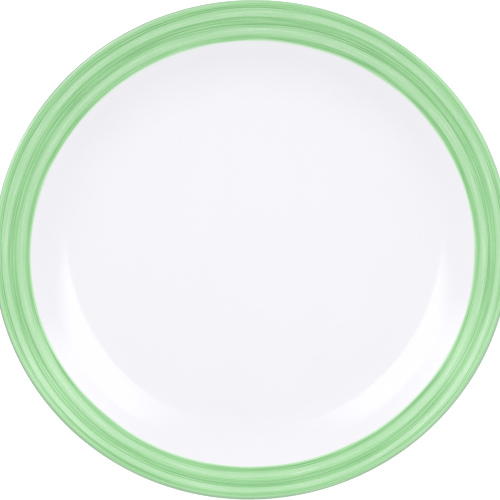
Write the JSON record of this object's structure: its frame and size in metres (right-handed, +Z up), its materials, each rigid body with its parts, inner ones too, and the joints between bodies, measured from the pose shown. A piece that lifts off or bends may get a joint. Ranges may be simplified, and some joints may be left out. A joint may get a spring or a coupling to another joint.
{
  "type": "dinner plate",
  "caption": "Round glazed china dinner plate with a flat well, a flared rim hand-banded in translucent green, and an unglazed foot ring to stand on.",
  "frame": {"origin": "centre of the foot ring, on the surface the plate stands on", "axes": "+Z up along the axis the plate is turned about; X and Y level and equivalent"},
  "size_m": [0.267, 0.267, 0.026],
  "materials": {
    "bare_china": "unglazed, matt, fine grained",
    "white_glaze": "clear gloss glaze over white china",
    "pale_green_enamel": "thin translucent wash under gloss",
    "green_enamel": "brushed translucent stroke under gloss",
    "dark_green_enamel": "pooled pigment line under gloss"
  },
  "bodies": {
    "root": {"china_body": "bare_china", "glaze_coat": "white_glaze", "foot_recess_glaze": "white_glaze", "rim_wash": "pale_green_enamel", "inner_edge_stroke": "green_enamel", "inner_edge_line": "dark_green_enamel", "middle_stroke": "green_enamel", "middle_line_inner": "dark_green_enamel", "middle_line_centre": "dark_green_enamel", "middle_line_outer": "dark_green_enamel", "lip_stroke": "green_enamel", "lip_line_inner": "dark_green_enamel", "lip_line_outer": "dark_green_enamel"}
  },
  "joints": []
}
